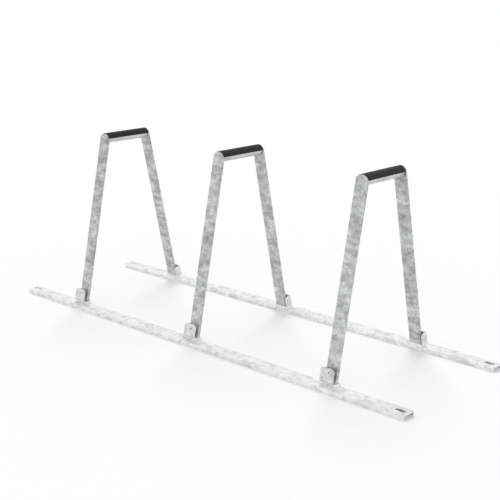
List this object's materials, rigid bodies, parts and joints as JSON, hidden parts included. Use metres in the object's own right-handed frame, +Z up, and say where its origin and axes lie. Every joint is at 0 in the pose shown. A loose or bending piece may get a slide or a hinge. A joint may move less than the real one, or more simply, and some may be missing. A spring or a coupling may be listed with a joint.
{
  "type": "bicycle rack",
  "caption": "Galvanised steel bicycle rack: tapering lean-on hoops with flat tube legs and black-sleeved round top bars, bolted across parallel ground rails.",
  "frame": {"origin": "on the ground at the middle of the rack, below the middle hoop", "axes": "+X along the ground rails from hoop 1 to hoop 3, +Y across the rack towards the back rail, +Z up"},
  "size_m": [2.4, 0.734, 0.8644],
  "materials": {
    "galvanised_steel": "hot-dip galvanised after welding, mottled grey spangle, satin",
    "zinc_plated_steel": "bright zinc plated",
    "black_rubber": "smooth extruded black rubber, satin"
  },
  "bodies": {
    "root": {"foot_bolt_1_back_a": "zinc_plated_steel", "foot_bolt_1_back_b": "zinc_plated_steel", "foot_bolt_1_front_a": "zinc_plated_steel", "foot_bolt_1_front_b": "zinc_plated_steel", "foot_bolt_2_back_a": "zinc_plated_steel", "foot_bolt_2_back_b": "zinc_plated_steel", "foot_bolt_2_front_a": "zinc_plated_steel", "foot_bolt_2_front_b": "zinc_plated_steel", "foot_bolt_3_back_a": "zinc_plated_steel", "foot_bolt_3_back_b": "zinc_plated_steel", "foot_bolt_3_front_a": "zinc_plated_steel", "foot_bolt_3_front_b": "zinc_plated_steel", "foot_guard_1_back": "galvanised_steel", "foot_guard_1_front": "galvanised_steel", "foot_guard_2_back": "galvanised_steel", "foot_guard_2_front": "galvanised_steel", "foot_guard_3_back": "galvanised_steel", "foot_guard_3_front": "galvanised_steel", "foot_nut_1_back_a": "zinc_plated_steel", "foot_nut_1_back_b": "zinc_plated_steel", "foot_nut_1_front_a": "zinc_plated_steel", "foot_nut_1_front_b": "zinc_plated_steel", "foot_nut_2_back_a": "zinc_plated_steel", "foot_nut_2_back_b": "zinc_plated_steel", "foot_nut_2_front_a": "zinc_plated_steel", "foot_nut_2_front_b": "zinc_plated_steel", "foot_nut_3_back_a": "zinc_plated_steel", "foot_nut_3_back_b": "zinc_plated_steel", "foot_nut_3_front_a": "zinc_plated_steel", "foot_nut_3_front_b": "zinc_plated_steel", "foot_plate_1_back": "galvanised_steel", "foot_plate_1_front": "galvanised_steel", "foot_plate_2_back": "galvanised_steel", "foot_plate_2_front": "galvanised_steel", "foot_plate_3_back": "galvanised_steel", "foot_plate_3_front": "galvanised_steel", "ground_rail_back": "galvanised_steel", "ground_rail_front": "galvanised_steel", "lean_sleeve_1": "black_rubber", "lean_sleeve_2": "black_rubber", "lean_sleeve_3": "black_rubber", "leg_1_back": "galvanised_steel", "leg_1_front": "galvanised_steel", "leg_2_back": "galvanised_steel", "leg_2_front": "galvanised_steel", "leg_3_back": "galvanised_steel", "leg_3_front": "galvanised_steel", "top_tube_1": "galvanised_steel", "top_tube_2": "galvanised_steel", "top_tube_3": "galvanised_steel"}
  },
  "joints": []
}
